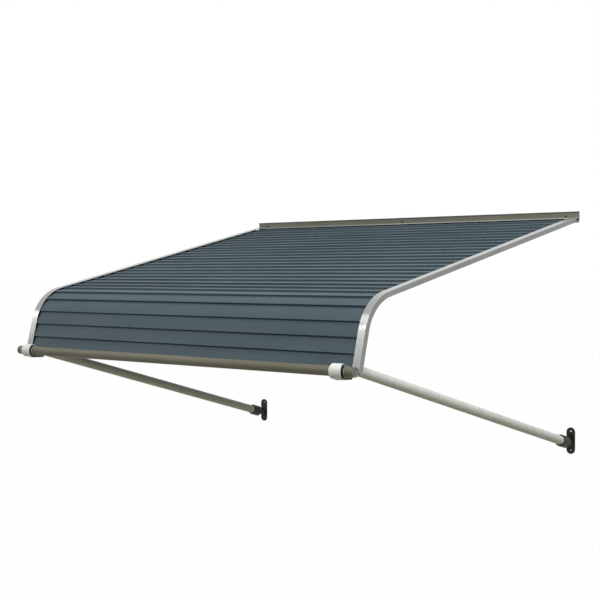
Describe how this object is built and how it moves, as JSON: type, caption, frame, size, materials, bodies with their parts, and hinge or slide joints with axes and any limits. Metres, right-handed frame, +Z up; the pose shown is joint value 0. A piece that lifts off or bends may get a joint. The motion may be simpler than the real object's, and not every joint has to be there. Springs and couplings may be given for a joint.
{
  "type": "door awning",
  "caption": "Aluminium door awning with a stepped sheet roof between bent side rails, a wall rail, a round front bar and stay arms that brace it to the wall.",
  "frame": {"origin": "on the flat back of the wall rail, half way along it, below its screw holes", "axes": "+X along the wall to the right as seen from in front, +Y into the wall, +Z up"},
  "size_m": [1.3796, 1.1161, 0.7555],
  "materials": {
    "painted_sheet": "satin slate paint on aluminium sheet",
    "mill_aluminium": "mill finish",
    "bar_metal": "dull bronze",
    "white_plastic": "moulded",
    "charcoal_plastic": "moulded",
    "pin_steel": "plain"
  },
  "bodies": {
    "canopy": {"wall_rail": "mill_aluminium", "roof_panel_1": "painted_sheet", "roof_panel_2": "painted_sheet", "roof_panel_3": "painted_sheet", "roof_panel_4": "painted_sheet", "roof_panel_5": "painted_sheet", "nose_panel": "painted_sheet", "drop_panel": "painted_sheet", "front_bar": "bar_metal", "side_rail_left": "mill_aluminium", "bar_plug_left": "charcoal_plastic", "bar_saddle_left": "mill_aluminium", "side_rail_right": "mill_aluminium", "bar_plug_right": "charcoal_plastic", "bar_saddle_right": "mill_aluminium"},
    "arm_left": {"collar_left": "white_plastic", "front_clip_left": "charcoal_plastic", "arm_tube_left": "mill_aluminium", "wall_socket_left": "charcoal_plastic"},
    "arm_right": {"collar_right": "white_plastic", "front_clip_right": "charcoal_plastic", "arm_tube_right": "mill_aluminium", "wall_socket_right": "charcoal_plastic"},
    "bracket_left": {"wall_plate_left": "charcoal_plastic", "wall_pin_left": "pin_steel"},
    "bracket_right": {"wall_plate_right": "charcoal_plastic", "wall_pin_right": "pin_steel"}
  },
  "joints": [
    {"name": "arm_left_swing", "type": "hinge", "parent": "canopy", "child": "arm_left", "pos_m": [-0.66, -1.09611, -0.41174], "axis": [1, 0, 0], "range_deg": [-75, 0]},
    {"name": "wall_plate_left_swivel", "type": "hinge", "parent": "arm_left", "child": "bracket_left", "pos_m": [-0.66, -0.02, -0.696], "axis": [1, 0, 0], "range_deg": [-60, 60]},
    {"name": "arm_right_swing", "type": "hinge", "parent": "canopy", "child": "arm_right", "pos_m": [0.66, -1.09611, -0.41174], "axis": [1, 0, 0], "range_deg": [-75, 0]},
    {"name": "wall_plate_right_swivel", "type": "hinge", "parent": "arm_right", "child": "bracket_right", "pos_m": [0.66, -0.02, -0.696], "axis": [1, 0, 0], "range_deg": [-60, 60]}
  ]
}
